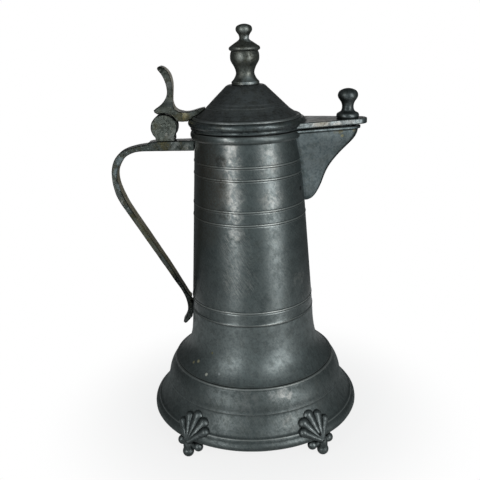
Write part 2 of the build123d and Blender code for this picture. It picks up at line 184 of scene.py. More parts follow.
# %% Softboxes
def softbox(name, side, distance, low, high, width, lean, radiance):
    """A tall lamp panel, in metres, turned by side degrees from the camera's side, its top leaning left."""
    turn = radians(side)
    middle = (low + high) / 2
    place = Vector((sin(turn) * distance, -cos(turn) * distance, middle))
    bpy.ops.object.light_add(type="AREA", location=place)
    lamp = bpy.context.object
    lamp.name = name
    aim = (Vector((0, 0, middle)) - place).to_track_quat("-Z", "Y").to_matrix()
    lamp.rotation_euler = (aim @ Matrix.Rotation(radians(lean), 3, "Z")).to_euler()
    lamp.data.shape = "RECTANGLE"
    lamp.data.size = width
    lamp.data.size_y = high - low
    lamp.data.energy = radiance * pi * width * (high - low)
    print(name, "gives", round(lamp.data.energy, 2), "W")


softbox("left_softbox", -40, 0.95, -0.12, 1.0, 0.18, 20, 5.0)
softbox("right_softbox", 39.5, 1.0, -0.15, 1.0, 0.36, 22, 4.4)


# %% [markdown]
# Most of the pitcher was turned on a lathe: a vessel, a base, a lid and two knobs. Such a piece
# could start from a cylinder, but its outline is what matters, so it is drawn once as a chain of
# points and spun about the axis. Round stretches are arcs and smooth curves through a few points.

# %% Outlines
def arc(start, middle, end, pieces=8):
    """Points on the circle through three points, from the first to the last."""
    (ax, ay), (bx, by), (cx, cy) = start, middle, end
    d = 2 * (ax * (by - cy) + bx * (cy - ay) + cx * (ay - by))
    a2, b2, c2 = ax * ax + ay * ay, bx * bx + by * by, cx * cx + cy * cy
    ux = (a2 * (by - cy) + b2 * (cy - ay) + c2 * (ay - by)) / d
    uy = (a2 * (cx - bx) + b2 * (ax - cx) + c2 * (bx - ax)) / d
    radius = hypot(ax - ux, ay - uy)
    first, mid, last = (atan2(y - uy, x - ux) for x, y in (start, middle, end))
    sweep = (last - first) % (2 * pi)
    if (mid - first) % (2 * pi) > sweep:
        sweep -= 2 * pi
    turns = [first + sweep * i / pieces for i in range(pieces + 1)]
    return [(ux + radius * cos(t), uy + radius * sin(t)) for t in turns]


def between(p, q, r, s, t):
    """The value at t from q to r, on a smooth curve that also looks at p before and s after."""
    return 0.5 * (2 * q + (r - p) * t + (2 * p - 5 * q + 4 * r - s) * t**2 + (3 * q - p - 3 * r + s) * t**3)


def smooth(points, pieces=8):
    """A smooth curve through a few points."""
    ends = [points[0]] + list(points) + [points[-1]]
    out = []
    for stretch in zip(ends, ends[1:], ends[2:], ends[3:]):
        for i in range(pieces):
            out.append(tuple(between(*values, i / pieces) for values in zip(*stretch)))
    return out + [points[-1]]


def fine(points, step=2.5):
    """The same outline with no span longer than a step, so that dents have points to act on."""
    out = [points[0]]
    for (r0, z0), (r1, z1) in zip(points, points[1:]):
        spans = max(1, round(hypot(r1 - r0, z1 - z0) / step))
        out += [(r0 + (r1 - r0) * i / spans, z0 + (z1 - z0) * i / spans) for i in range(1, spans + 1)]
    return out


# %% Spin an outline
turn_steps = 160


def deselect():
    """Nothing is selected any more, so that the next operator acts on its own piece alone."""
    bpy.ops.object.select_all(action="DESELECT")


def turned(name, outline, centre_x=0.0):
    """A turned piece: a closed outline of (radius, height) points in mm, spun about its axis."""
    deselect()
    bpy.ops.mesh.primitive_plane_add(size=MM, location=(0, 0, 0))
    piece = bpy.context.object
    piece.name = name
    bpy.ops.object.mode_set(mode="EDIT")
    bpy.ops.mesh.merge(type="CENTER")
    points = [Vector((centre_x + r, 0, z)) * MM for r, z in outline]
    bpy.ops.transform.translate(value=points[0])
    for here, there in zip(points, points[1:] + points[:1]):
        bpy.ops.mesh.extrude_vertices_move(TRANSFORM_OT_translate={"value": there - here})
    bpy.ops.mesh.select_all(action="SELECT")
    bpy.ops.mesh.remove_doubles(threshold=MM / 100)
    bpy.ops.mesh.select_all(action="SELECT")
    axis_place = (centre_x * MM, 0, 0)
    bpy.ops.mesh.spin(steps=turn_steps, angle=2 * pi, center=axis_place, axis=(0, 0, 1))
    bpy.ops.mesh.select_all(action="SELECT")
    bpy.ops.mesh.remove_doubles(threshold=MM / 50)
    bpy.ops.mesh.normals_make_consistent(inside=False)
    bpy.ops.object.mode_set(mode="OBJECT")
    print(name, "spun from", len(outline), "points to", len(piece.data.vertices))
    return piece


# %% [markdown]
# Cast and sheet pieces are not round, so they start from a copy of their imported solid. Its loose
# triangles are merged first. A bevel breaks the sharp corners, a voxel remesh gives an even skin
# as a casting has, and a few rounds of smoothing wear the edges down.

# %% Work over a copy of a solid
sharp_angle = radians(40)


def apply_all(piece):
    """Applies the piece's modifiers in their order."""
    deselect()
    piece.select_set(True)
    bpy.context.view_layer.objects.active = piece
    for name in [m.name for m in piece.modifiers]:
        bpy.ops.object.modifier_apply(modifier=name)


def copy_of(node, name):
    """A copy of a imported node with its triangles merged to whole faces, free of its body."""
    deselect()
    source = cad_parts[node]
    source.select_set(True)
    bpy.context.view_layer.objects.active = source
    bpy.ops.object.duplicate()
    piece = bpy.context.object
    piece.name = name
    piece.parent = None
    piece.matrix_world = Matrix.Identity(4)
    for key in list(piece.keys()):
        del piece[key]
    piece.data.materials.clear()
    bpy.ops.object.mode_set(mode="EDIT")
    bpy.ops.mesh.select_all(action="SELECT")
    bpy.ops.mesh.remove_doubles(threshold=MM / 200)
    bpy.ops.mesh.dissolve_limited(angle_limit=radians(0.5))
    bpy.ops.object.mode_set(mode="OBJECT")
    return piece


def worked_copy(node, name, voxel, rounds, bevel=0):
    """A copy with its edges bevelled, its skin remeshed and then smoothed, sizes in mm."""
    piece = copy_of(node, name)
    if bevel:
        edge = piece.modifiers.new("broken edges", "BEVEL")
        edge.width = bevel * MM
        edge.segments = 3
        edge.limit_method = "ANGLE"
        edge.angle_limit = sharp_angle
    skin = piece.modifiers.new("even skin", "REMESH")
    skin.mode = "VOXEL"
    skin.voxel_size = voxel * MM
    worn = piece.modifiers.new("worn edges", "SMOOTH")
    worn.factor = 0.5
    worn.iterations = rounds
    apply_all(piece)
    print(name, "worked over,", len(piece.data.vertices), "points")
    return piece


# %% [markdown]
# Old pewter is never quite true: a wall has shallow dents that make its reflections waver. A
# Displace modifier with a soft cloud texture gives them. It only pushes inwards, so the piece
# stays inside its packed size.

# %% Dents
def dent(piece, depth, size):
    """Shallow dents pushed inwards, depth and size in mm."""
    clouds = bpy.data.textures.new(piece.name + " clouds", "CLOUDS")
    clouds.noise_scale = size * MM
    clouds.noise_depth = 1
    push = piece.modifiers.new("dents", "DISPLACE")
    push.texture = clouds
    push.texture_coords = "LOCAL"
    push.strength = depth * MM
    push.mid_level = 1.0
    apply_all(piece)


# %% [markdown]
# Ridges are marked next: each point gets a number that is positive on a ridge, where hands and
# cloths polish the metal, and negative in a groove, where dirt stays. The finishes read it. A few
# rounds of blur spread it on pieces with small faces.

# %% Ridges
ridge_gain = 2.5


def mark_ridges(piece, blur=0):
    """Writes how sharply each point stands out, from -1 in a groove to 1 on a ridge."""
    mesh = piece.data
    total = [0.0] * len(mesh.vertices)
    count = [0] * len(mesh.vertices)
    normals = [v.normal.copy() for v in mesh.vertices]
    for edge in mesh.edges:
        a, b = edge.vertices
        step = mesh.vertices[a].co - mesh.vertices[b].co
        size = max(step.length_squared, 1e-12)
        total[a] += normals[a].dot(step) / size * MM
        total[b] -= normals[b].dot(step) / size * MM
        count[a] += 1
        count[b] += 1
    bend = [t / max(c, 1) for t, c in zip(total, count)]
    for _ in range(blur):
        around = [0.0] * len(bend)
        for edge in mesh.edges:
            a, b = edge.vertices
            around[a] += bend[b]
            around[b] += bend[a]
        bend = [(value + n / max(c, 1)) / 2 for value, n, c in zip(bend, around, count)]
    ridge = mesh.attributes.new("ridge", "FLOAT", "POINT")
    ridge.data.foreach_set("value", [tanh(value * ridge_gain) for value in bend])


# %% Hand a finished piece over
def hand_over(piece, body, slot, finish, *nodes):
    """The finished piece gets its finish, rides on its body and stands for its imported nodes."""
    deselect()
    piece.select_set(True)
    bpy.context.view_layer.objects.active = piece
    bpy.ops.object.shade_smooth_by_angle(angle=sharp_angle)
    piece.data.materials.clear()
    piece.data.materials.append(finish)
    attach(piece, body)
    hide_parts(*nodes)
    print(piece.name, "rides on the", body, "in", finish.name)


# %% [markdown]
# Pewter is mostly tin. Cast or turned, it is a soft grey metal with a satin gloss. With age a
# dark grey-green skin of oxide grows on it in clouds, thin where it is handled. So the first layer
# of every finish mixes a brighter worn metal with that skin by cloudy noise. A grain breaks up
# the clouds' edges. Real grain is finer than a pixel; it is drawn 1.5 mm wide, so that it shows.

# %% Worn metal and its skin
grain_size = 1.5


def metal_and_skin(tree, place, worn, skin, clouds, polish):
    """The colour and the gloss from worn metal to skin, and the grain that later layers use."""
    cloud = add(tree, "TexNoise", {}, {
        "Vector": place, "Scale": 1 / (clouds * MM), "Detail": 7.0, "Roughness": 0.6, "Distortion": 0.3})
    skin_share = add(tree, "MapRange", {}, {
        "Value": cloud, "From Min": 0.34, "From Max": 0.66, "To Min": 0.0, "To Max": 1.0})
    grain = add(tree, "TexNoise", {}, {
        "Vector": place, "Scale": 1 / (grain_size * MM), "Detail": 4.0, "Roughness": 0.75})
    speckle = add(tree, "MapRange", {}, {
        "Value": grain, "From Min": 0.35, "From Max": 0.7, "To Min": -0.55, "To Max": 0.55})
    share = add(tree, "Math", {"operation": "ADD", "use_clamp": True}, {0: skin_share, 1: speckle})
    colour = add(tree, "Mix", {"data_type": "RGBA"}, {0: share, 6: linear(worn), 7: linear(skin)})
    gloss = add(tree, "MapRange", {}, {
        "Value": share, "From Min": 0.0, "From Max": 1.0, "To Min": polish[0], "To Max": polish[1]})
    return colour, gloss, grain


# %% [markdown]
# Wear isn't even. Some layers act only at named places, which sit where the photograph shows them.
# A place is a point in mm, a size in mm and a share. The grain makes its edge ragged.

# %% Places
def near(tree, place, grain, spot, size, amount):
    """The amount close to a spot, fading out by about one and a half times its size."""
    away = add(tree, "VectorMath", {"operation": "DISTANCE"}, {0: place, 1: Vector(spot) * MM})
    ragged = add(tree, "Math", {"operation": "MULTIPLY_ADD"}, {
        0: grain, 1: 0.8 * size * MM, 2: away.outputs["Value"]})
    return add(tree, "MapRange", {"interpolation_type": "SMOOTHSTEP"}, {
        "Value": ragged, "From Min": 1.2 * size * MM, "From Max": 1.9 * size * MM,
        "To Min": amount, "To Max": 0.0})


def at_places(tree, place, grain, places, everywhere=0.0):
    """The largest share that a place gives, and at least the share that holds everywhere."""
    share = everywhere
    for spot, size, amount in places:
        share = add(tree, "Math", {"operation": "MAXIMUM"}, {
            0: near(tree, place, grain, spot, size, amount), 1: share})
    return share


# %% [markdown]
# Where hands rub, the skin is off and bright metal shows in flecks. Wiping leaves fine slanted
# scratches. Real ones are a tenth of a millimetre wide and less; they are drawn 0.28 mm wide, so
# that they show.

# %% Bright flecks and fine scratches
fleck_size = 5.0
scratch_size = (6.0, 6.0, 0.28)
scratch_slant = radians(58)


def bright_flecks(tree, place, grain, colour, gloss, rubbed, shine):
    """Flecks of bare metal at the rubbed places, where the roughness is that of the shine. On the base they
    paint a highlight.
    """
    fleck = add(tree, "TexNoise", {}, {
        "Vector": place, "Scale": 1 / (fleck_size * MM), "Detail": 8.0, "Roughness": 0.75, "Distortion": 0.5})
    fleck_share = add(tree, "MapRange", {"interpolation_type": "SMOOTHSTEP"}, {
        "Value": fleck, "From Min": 0.44, "From Max": 0.60, "To Min": 0.0, "To Max": 1.0})
    share = add(tree, "Math", {"operation": "MULTIPLY"}, {
        0: fleck_share, 1: at_places(tree, place, grain, rubbed)})
    colour = add(tree, "Mix", {"data_type": "RGBA"}, {0: share, 6: colour, 7: linear("#b1aeaa")})
    gloss = add(tree, "Mix", {}, {0: share, 2: gloss, 3: shine})
    return colour, gloss


def fine_scratches(tree, place, grain, colour, wiped, scratched):
    """Slanted scratches, everywhere by one share and more at the wiped places."""
    slant = add(tree, "Mapping", {"vector_type": "TEXTURE"}, {
        "Vector": place, "Rotation": (0.0, scratch_slant, 0.0), "Scale": [s * MM for s in scratch_size]})
    hairs = add(tree, "TexNoise", {}, {"Vector": slant, "Scale": 1.0, "Detail": 2.0, "Roughness": 0.5})
    hair_share = add(tree, "MapRange", {"interpolation_type": "SMOOTHSTEP"}, {
        "Value": hairs, "From Min": 0.5, "From Max": 0.68, "To Min": 0.0, "To Max": 1.0})
    share = add(tree, "Math", {"operation": "MULTIPLY"}, {
        0: hair_share, 1: at_places(tree, place, grain, wiped, scratched)})
    return add(tree, "Mix", {"data_type": "RGBA"}, {0: share, 6: colour, 7: linear("#b0aeaa")})


# %% [markdown]
# Thick old oxide turns olive in patches, most of all on castings, which are never scoured. On some
# pieces one side differs from the rest, such as the sheltered side of the handle. That tint
# follows the direction in which a face looks. On the spout the same tint paints shade on faces
# that look down.

# %% Olive oxide and tinted sides
oxide_size = 7.0


def olive_oxide(tree, place, colour, oxide):
    """Olive patches, up to the oxide's share."""
    patch = add(tree, "TexNoise", {}, {
        "Vector": place, "Scale": 1 / (oxide_size * MM), "Detail": 6.0, "Roughness": 0.75})
    share = add(tree, "MapRange", {"interpolation_type": "SMOOTHSTEP"}, {
        "Value": patch, "From Min": 0.47, "From Max": 0.66, "To Min": 0.0, "To Max": oxide})
    return add(tree, "Mix", {"data_type": "RGBA"}, {0: share, 6: colour, 7: linear("#5f5840")})


def tinted_side(tree, normal, colour, towards, least, most, amount, tint):
    """A tint on faces that look towards a direction. It grows from the least to the most cosine."""
    cosine = add(tree, "VectorMath", {"operation": "DOT_PRODUCT"}, {0: normal, 1: towards})
    share = add(tree, "MapRange", {"interpolation_type": "SMOOTHSTEP"}, {
        "Value": cosine.outputs["Value"], "From Min": least, "From Max": most,
        "To Min": 0.0, "To Max": amount})
    return add(tree, "Mix", {"data_type": "RGBA"}, {0: share, 6: colour, 7: linear(tint)})


# %% [markdown]
# A lathe leaves level lines all round. Real ones are a tenth or two of a millimetre apart; they
# are drawn 0.4 mm wide, so that they show. The noise is stretched along X and Y, so it changes
# only with the height.

# %% Turning lines
line_size = (40.0, 40.0, 0.4)


def turning_lines(tree, place, colour, line_tone):
    """The noise of the lathe's lines, and the colour with their brighter tone."""
    stretch = add(tree, "Mapping", {"vector_type": "TEXTURE"}, {
        "Vector": place, "Scale": [s * MM for s in line_size]})
    turning = add(tree, "TexNoise", {}, {"Vector": stretch, "Scale": 1.0, "Detail": 3.0, "Roughness": 0.6})
    if line_tone:
        share = add(tree, "MapRange", {}, {
            "Value": turning, "From Min": 0.42, "From Max": 0.62, "To Min": 0.0, "To Max": line_tone})
        colour = add(tree, "Mix", {"data_type": "RGBA"}, {0: share, 6: colour, 7: linear("#8b8c88")})
    return turning, colour


# %% [markdown]
# Dirt stays in grooves, and edges are rubbed bright, or, on the castings and the spout, carry painted shade
# along their rounded rims.
# Both follow the ridge numbers. Single marks come last: stains, lime and rust, and also painted
# highlights and painted shade, at named places, each with its own colour.

# %% Grooves, edges and single marks
small_mark = 1.5


def grooves_and_edges(tree, colour, grime, edge_colour, edge_share):
    """Dirt in the grooves, and the edge's colour on the ridges."""
    ridge = add(tree, "Attribute", {"attribute_name": "ridge"}, {}).outputs["Fac"]
    groove = add(tree, "MapRange", {"interpolation_type": "SMOOTHSTEP"}, {
        "Value": ridge, "From Min": -0.08, "From Max": -0.7, "To Min": 0.0, "To Max": grime})
    colour = add(tree, "Mix", {"data_type": "RGBA"}, {0: groove, 6: colour, 7: linear("#191c1c")})
    top = add(tree, "MapRange", {"interpolation_type": "SMOOTHSTEP"}, {
        "Value": ridge, "From Min": 0.12, "From Max": 0.7, "To Min": 0.0, "To Max": edge_share})
    return add(tree, "Mix", {"data_type": "RGBA"}, {0: top, 6: colour, 7: linear(edge_colour)})


def single_marks(tree, place, grain, colour, marks):
    """Marks in their own colours. The grain mottles all but the small ones."""
    mottle = add(tree, "MapRange", {}, {
        "Value": grain, "From Min": 0.38, "From Max": 0.56, "To Min": 0.25, "To Max": 1.0})
    for spot, size, amount, tint in marks:
        mark = near(tree, place, grain, spot, size, amount)
        if size > small_mark:
            mark = add(tree, "Math", {"operation": "MULTIPLY"}, {0: mark, 1: mottle})
        colour = add(tree, "Mix", {"data_type": "RGBA"}, {0: mark, 6: colour, 7: linear(tint)})
    return colour


# %% [markdown]
# The finest relief is left to bump: the lathe's lines, small pits of corrosion about 2.6 mm apart,
# and the grain. None is deeper than 0.14 mm, so they would hardly show in the outline.

# %% Fine relief
pit_pitch = 2.6
grain_depth = 0.03


def fine_relief(tree, place, grain, turning, lines, pits):
    """A surface direction with lines, pits and grain, one laid over the other."""
    line_bump = add(tree, "Bump", {}, {"Height": turning, "Distance": lines * MM, "Strength": 1.0})
    hollow = add(tree, "TexVoronoi", {"feature": "F1"}, {"Vector": place, "Scale": 1 / (pit_pitch * MM)})
    pit = add(tree, "MapRange", {"interpolation_type": "SMOOTHSTEP"}, {
        "Value": hollow.outputs["Distance"], "From Min": 0.05, "From Max": 0.28,
        "To Min": 0.0, "To Max": 1.0})
    pit_bump = add(tree, "Bump", {}, {
        "Height": pit, "Distance": pits * MM, "Strength": 1.0, "Normal": line_bump})
    return add(tree, "Bump", {}, {
        "Height": grain, "Distance": grain_depth * MM, "Strength": 1.0, "Normal": pit_bump})


# %% The recipe for aged pewter
bright_edge = "#b2b4b1"
dull_edge = "#9a9e9c"


def aged_pewter(name, worn, skin, clouds, polish, oxide=0.05, lines=0.0, line_tone=0.0, pits=0.02,
                edge=(bright_edge, 0.5), grime=0.5, side=(), rubbed=(), wiped=(), scratched=0.0, marks=()):
    """An aged pewter finish from two hex colours. clouds is the size of its clouds in mm, polish
    the roughness of worn metal and of the skin. lines and pits are depths in mm, the others are
    shares from 0 to 1. edge is a colour and a share. side is a tinted side's direction, least and
    most cosine, share and colour. rubbed, wiped and marks list places."""
    finish = bpy.data.materials.new(name)
    finish.use_nodes = True
    tree = finish.node_tree
    shader = tree.nodes["Principled BSDF"]
    coordinates = add(tree, "TexCoord", {}, {})
    place = coordinates.outputs["Object"]

    colour, gloss, grain = metal_and_skin(tree, place, worn, skin, clouds, polish)
    if rubbed:
        shine = polish[0] - 0.06
        colour, gloss = bright_flecks(tree, place, grain, colour, gloss, rubbed, shine)
    if wiped or scratched:
        colour = fine_scratches(tree, place, grain, colour, wiped, scratched)
    colour = olive_oxide(tree, place, colour, oxide)
    if side:
        colour = tinted_side(tree, coordinates.outputs["Normal"], colour, *side)
    turning, colour = turning_lines(tree, place, colour, line_tone)
    colour = grooves_and_edges(tree, colour, grime, *edge)
    colour = single_marks(tree, place, grain, colour, marks)
    relief = fine_relief(tree, place, grain, turning, lines, pits)

    for socket, value in (("Base Color", colour), ("Roughness", gloss), ("Normal", relief)):
        tree.links.new(next(o for o in value.outputs if o.enabled), shader.inputs[socket])
    shader.inputs["Metallic"].default_value = 1.0
    print(name, "has", len(tree.nodes), "nodes")
    return finish


# %% [markdown]
# The drum is the pitcher's tapered wall. Turned pewter that has been handled for long keeps a
# satin gloss. Rubbed flecks lie on it, most of them down its left streak, with scratches from
# wiping mostly below them, and brown stains on the dark left side. One small black spot by
# the spout is painted shade, where the wall has a small dent.

# %% Finish of the drum
drum_rubbed = [
    ((-13.0, -36.5, 222.0), 6, 0.45), ((-11.5, -37.0, 211.0), 6, 0.6), ((-10.5, -38.0, 200.0), 5, 0.45),
    ((-9.5, -38.8, 187.0), 6, 0.4), ((-10.0, -39.4, 175.0), 5, 0.45), ((-9.5, -40.0, 163.0), 5, 0.3),
    ((-22.0, -31.0, 205.0), 9, 0.15), ((-20.0, -33.0, 180.0), 9, 0.12), ((15.0, -37.0, 213.0), 9, 0.2),
    ((14.0, -38.0, 186.0), 9, 0.22), ((34.0, -27.5, 124.0), 6, 0.3)]
drum_wiped = [
    ((-10.0, -41.5, 150.0), 12, 0.4), ((-9.0, -42.5, 128.0), 11, 0.4), ((-11.0, -38.5, 190.0), 10, 0.25)]
brown_stain = "#5f554b"
dark_stain = "#3b3733"
# The first mark, near black, is the painted shade of a small dent; the others are stains.
drum_stains_and_dent_shade = [
    ((37.0, -16.4, 187.7), 1.4, 0.95, "#08090a"), ((-33.0, -24.0, 215.0), 13, 0.5, brown_stain),
    ((-28.0, -30.0, 192.0), 14, 0.5, brown_stain), ((-33.0, -27.0, 165.0), 13, 0.35, brown_stain),
    ((-18.0, -33.5, 212.0), 4, 0.7, dark_stain), ((-17.5, -35.0, 197.0), 3, 0.5, dark_stain),
    ((-17.5, -36.5, 176.0), 4, 0.5, dark_stain)]
body_finish = aged_pewter(
    "turned pewter, aged", "#696f6f", "#525858", 9, (0.34, 0.42), lines=0.02, edge=(bright_edge, 0.7),
    grime=0.8, rubbed=drum_rubbed, wiped=drum_wiped, scratched=0.1, marks=drum_stains_and_dent_shade)

# %% [markdown]
# The drum is turned with five fine rings. Each ring is a bead less than a millimetre wide between
# two shallow lines, so the outline has a few points for each.

# %% Drum
seam_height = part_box("drum")[0].z / MM
mouth_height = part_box("drum")[1].z / MM
seam_radius = 46.6
taper = 0.065
wall = 1.8
ring_heights = (103.7, 167.9, 177.3, 199.2, 208.1)
ring_relief = 0.3


def wall_radius(z):
    """Outer radius of the tapered wall at a height, in mm."""
    return seam_radius + (seam_height - z) * taper


def ring(z):
    """The outline of one ring: a bead between two shallow lines, with plain metal on each side."""
    steps = ((-1.9, 0), (-1.3, 0), (-0.85, -0.8), (-0.5, 0.8), (-0.2, 1), (0.2, 1), (0.5, 0.8),
             (0.75, -0.15), (1.1, 0), (1.9, 0))
    return [(wall_radius(z + up) + ring_relief * out, z + up) for up, out in steps]


drum_outside = [(seam_radius + 0.1, seam_height), (seam_radius + 0.3, seam_height + 0.4)]
drum_outside += [(seam_radius, seam_height + 0.9), (wall_radius(seam_height + 1.6), seam_height + 1.6)]
for height in ring_heights:
    drum_outside += ring(height)
drum_outside += [(wall_radius(mouth_height), mouth_height)]
drum_inside = [(wall_radius(mouth_height) - wall, mouth_height), (seam_radius - wall, seam_height)]
drum = turned("turned_drum", fine(drum_outside) + fine(drum_inside, 6))

# %% [markdown]
# Holes behind the spout strain the drink. They stand in rows, each row one hole shorter than the
# row above it. One small cylinder per hole drills them all at once, with a Boolean modifier.

# %% Strainer holes
hole_radius = 1.7
hole_pitch = 6.5
top_row_holes = 5
top_row_height = 216.0
drill_x = 36.0
drill_length = 12.0

deselect()
drills = []
for row in range(top_row_holes):
    holes = top_row_holes - row
    height = top_row_height - row * hole_pitch
    for column in range(holes):
        across = (column - (holes - 1) / 2) * hole_pitch
        bpy.ops.mesh.primitive_cylinder_add(
            vertices=20, radius=hole_radius * MM, depth=drill_length * MM,
            location=(drill_x * MM, across * MM, height * MM), rotation=(0, pi / 2, 0))
        drills.append(bpy.context.object)
print(len(drills), "strainer holes")
for drill in drills:
    drill.select_set(True)
bpy.context.view_layer.objects.active = drills[0]
bpy.ops.object.join()
cut = drum.modifiers.new("strainer", "BOOLEAN")
cut.object = drills[0]
cut.solver = "EXACT"
apply_all(drum)
bpy.data.objects.remove(drills[0])

# %% Hand over the drum
dent(drum, 0.2, 26)
mark_ridges(drum)
hand_over(drum, "vessel", "body_pewter", body_finish, "drum")

# %% [markdown]
# Below the seam the wall opens in a smooth flare. It was spun from sheet and soldered to the
# drum, and the two edges stand a little proud of each other. Spun metal is a little duller than the
# turned wall, and spots of dried lime sit low on its left.

# %% Flare
lime_spots = [
    ((-42.4, -32.5, 60.4), 1.1, 0.7, "#e6dcb4"), ((-46.1, -29.8, 58.2), 0.9, 0.7, "#d6cb9c"),
    ((-35.7, -44.6, 55.8), 1.0, 0.8, "#f0eee0"), ((-31.1, -38.0, 69.6), 0.8, 0.7, "#8d8556"),
    ((-43.3, -31.0, 62.2), 0.7, 0.6, "#c9bd8c"), ((-26.1, -48.6, 57.9), 0.8, 0.5, "#b4b8ba")]
flare_finish = aged_pewter(
    "spun pewter, rubbed", "#727979", "#5d6363", 5, (0.41, 0.48), lines=0.03, edge=(bright_edge, 0.4),
    grime=0.7, scratched=0.1, marks=lime_spots)

base_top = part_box("flare")[0].z / MM
flare_outside = smooth([
    (seam_radius, seam_height - 0.9), (46.95, 88.0), (47.2, 83.0), (48.1, 74.0), (49.8, 66.7), (52.7, 60.9),
    (56.7, 56.1), (60.7, base_top)], 5)
flare_inside = smooth([
    (57.6, base_top), (51.3, 59.4), (48.0, 66.0), (46.2, 73.6), (45.3, 83.0), (44.7, seam_height)], 3)
flare_lip = [(seam_radius + out, seam_height - down) for out, down in ((0.1, 0), (0.3, 0.3), (0.1, 0.6))]
flare = turned("spun_flare", fine(flare_lip + flare_outside) + fine(flare_inside, 5))
dent(flare, 0.3, 13)
mark_ridges(flare)
hand_over(flare, "vessel", "body_pewter", flare_finish, "flare")

# %% [markdown]
# The base under the flare is stepped: a round moulding, a hollow one and a small one at the rim. It
# was spun too. It is darker and duller than the flare, and a highlight is painted in bright flecks
# on the right of its upper moulding.

# %% Base skirt
# These flecks paint the highlight on the base's mouldings.
base_highlight_flecks = [
    ((22.0, -60.9, 47.2), 4, 0.35), ((15.0, -63.3, 47.0), 5, 0.15), ((23.5, -67.8, 27.6), 5, 0.15),
    ((-6.0, -65.0, 45.0), 7, 0.1)]
base_finish = aged_pewter(
    "spun pewter base, aged", "#626868", "#4f5555", 4.5, (0.43, 0.52), lines=0.03, pits=0.04,
    edge=(bright_edge, 0.5), grime=0.4, rubbed=base_highlight_flecks, scratched=0.1)

rim_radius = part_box("skirt")[1].x / MM
rim_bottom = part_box("skirt")[0].z / MM
skirt_outside = [(60.4, base_top), (61.0, base_top)]
skirt_outside += arc((61.0, base_top), (62.1, 52.2), (62.5, 51.3), 5)[1:]
skirt_outside += arc((62.5, 50.9), (66.4, 44.4), (68.3, 36.9), 12)
skirt_outside += [(68.5, 36.2), (68.8, 35.5), (68.8, 34.9)]
skirt_outside += arc((68.8, 34.4), (72.0, 27.0), (76.0, 21.4), 12)
skirt_outside += [(76.6, 21.1), (77.2, 20.7), (77.6, 20.2), (77.7, 19.8)]
skirt_outside += arc((77.9, 19.4), (80.0, 17.2), (rim_radius, 14.4), 8)
skirt_outside += [(rim_radius, 13.8), (rim_radius - 0.5, rim_bottom)]
skirt_inside = [(rim_radius - 1.9, rim_bottom), (78.0, 16.4)]
skirt_inside += arc((78.0, 16.4), (70.8, 25.6), (66.8, 34.6), 8)[1:]
skirt_inside += arc((66.8, 34.6), (64.4, 43.8), (60.4, 50.7), 8)[1:]
skirt_inside += [(54.0, 50.7), (54.0, base_top)]
skirt = turned("spun_skirt", fine(skirt_outside) + fine(skirt_inside, 5))
dent(skirt, 0.25, 16)
mark_ridges(skirt)
hand_over(skirt, "vessel", "base_pewter", base_finish, "skirt")

# %% [markdown]
# The mouth has a half-round band soldered on, interrupted by the spout. A copy of its solid keeps
# that gap.

# %% Mouth band
band = worked_copy("mouth_band", "mouth_ring", 0.35, 3)
mark_ridges(band, 2)
hand_over(band, "vessel", "body_pewter", body_finish, "mouth_band")

# %% [markdown]
# The spout is folded sheet with a bead along its lip, so its copy gets only worn edges, and broad
# shallow dents from the mallet. It is soldered on, so its root sinks into the drum. Sheet pewter
# is smooth and even. Shade is painted on its folded keel, where it looks down, and along its
# edges, and a few rusty spots sit on its upper edge.

# %% Finish of the spout
rust_spots = [
    ((65.8, -8.6, 226.6), 2.0, 0.6, "#6f6138"), ((67.4, -8.1, 223.0), 1.0, 0.5, "#a29668"),
    ((75.6, -5.0, 226.5), 1.6, 0.6, "#a3966e"), ((62.0, -9.3, 226.4), 1.6, 0.5, "#6f6138"),
    ((66.0, -8.6, 226.4), 0.7, 0.6, "#b09a5e")]
# Painted shade on faces that look down and out, the keel, and on the spout's edges.
keel_shade_side = (0.8, 0.0, -0.6)
painted_keel_shade = "#1f2323"
spout_finish = aged_pewter(
    "sheet pewter, aged", "#747c7e", "#566062", 6, (0.40, 0.5), oxide=0.15, edge=(painted_keel_shade, 0.8),
    scratched=0.1, side=(keel_shade_side, 0.5, 0.75, 0.85, painted_keel_shade), marks=rust_spots)


# %% Spout
def sink_root(piece, reach, share):
    """Draws the points within reach mm of the drum's wall towards its axis, for a tight joint."""
    for vertex in piece.data.vertices:
        x, y, z = vertex.co / MM
        vertex.select = hypot(x, y) < wall_radius(z) + reach
    for edge in piece.data.edges:
        edge.select = all(piece.data.vertices[i].select for i in edge.vertices)
    for face in piece.data.polygons:
        face.select = all(piece.data.vertices[i].select for i in face.vertices)
    bpy.context.view_layer.objects.active = piece
    bpy.ops.object.mode_set(mode="EDIT")
    bpy.ops.transform.resize(value=(share, share, 1), center_override=(0, 0, 0))
    bpy.ops.object.mode_set(mode="OBJECT")


spout = worked_copy("spout", "folded_spout", 0.4, 3)
sink_root(spout, 1.2, 0.975)
dent(spout, 0.25, 14)
mark_ridges(spout, 2)
hand_over(spout, "vessel", "spout_pewter", spout_finish, "spout")

# %% [markdown]
# The handle is one cast strap, flat inside, with its long edges taken off by a file. Cast pewter is
# dark and pitted, with olive oxide, most of it on the sheltered side that looks to the vessel.
# Solder has left brighter flecks at the joints. A highlight is painted on the bend, and shade and
# the drum's dark reflection are painted near black low on the strap, where it faces the drum.

# %% Handle
# Painted shade along the rounded edges of the castings.
painted_edge_shade = ("#1a1d1d", 0.95)
vessel_side = (1.0, 0.0, 0.0)
sheltered_olive = "#a0966f"
solder_flecks = [
    ((-52.0, -6.0, 219.1), 4, 0.7), ((-45.0, -6.0, 218.2), 4, 0.6), ((-54.0, -7.4, 228.5), 3.5, 0.5),
    ((-91.6, -6.0, 179.7), 3, 0.5)]
painted_bend_highlight = "#8e9ca2"
old_olive = "#7a7252"
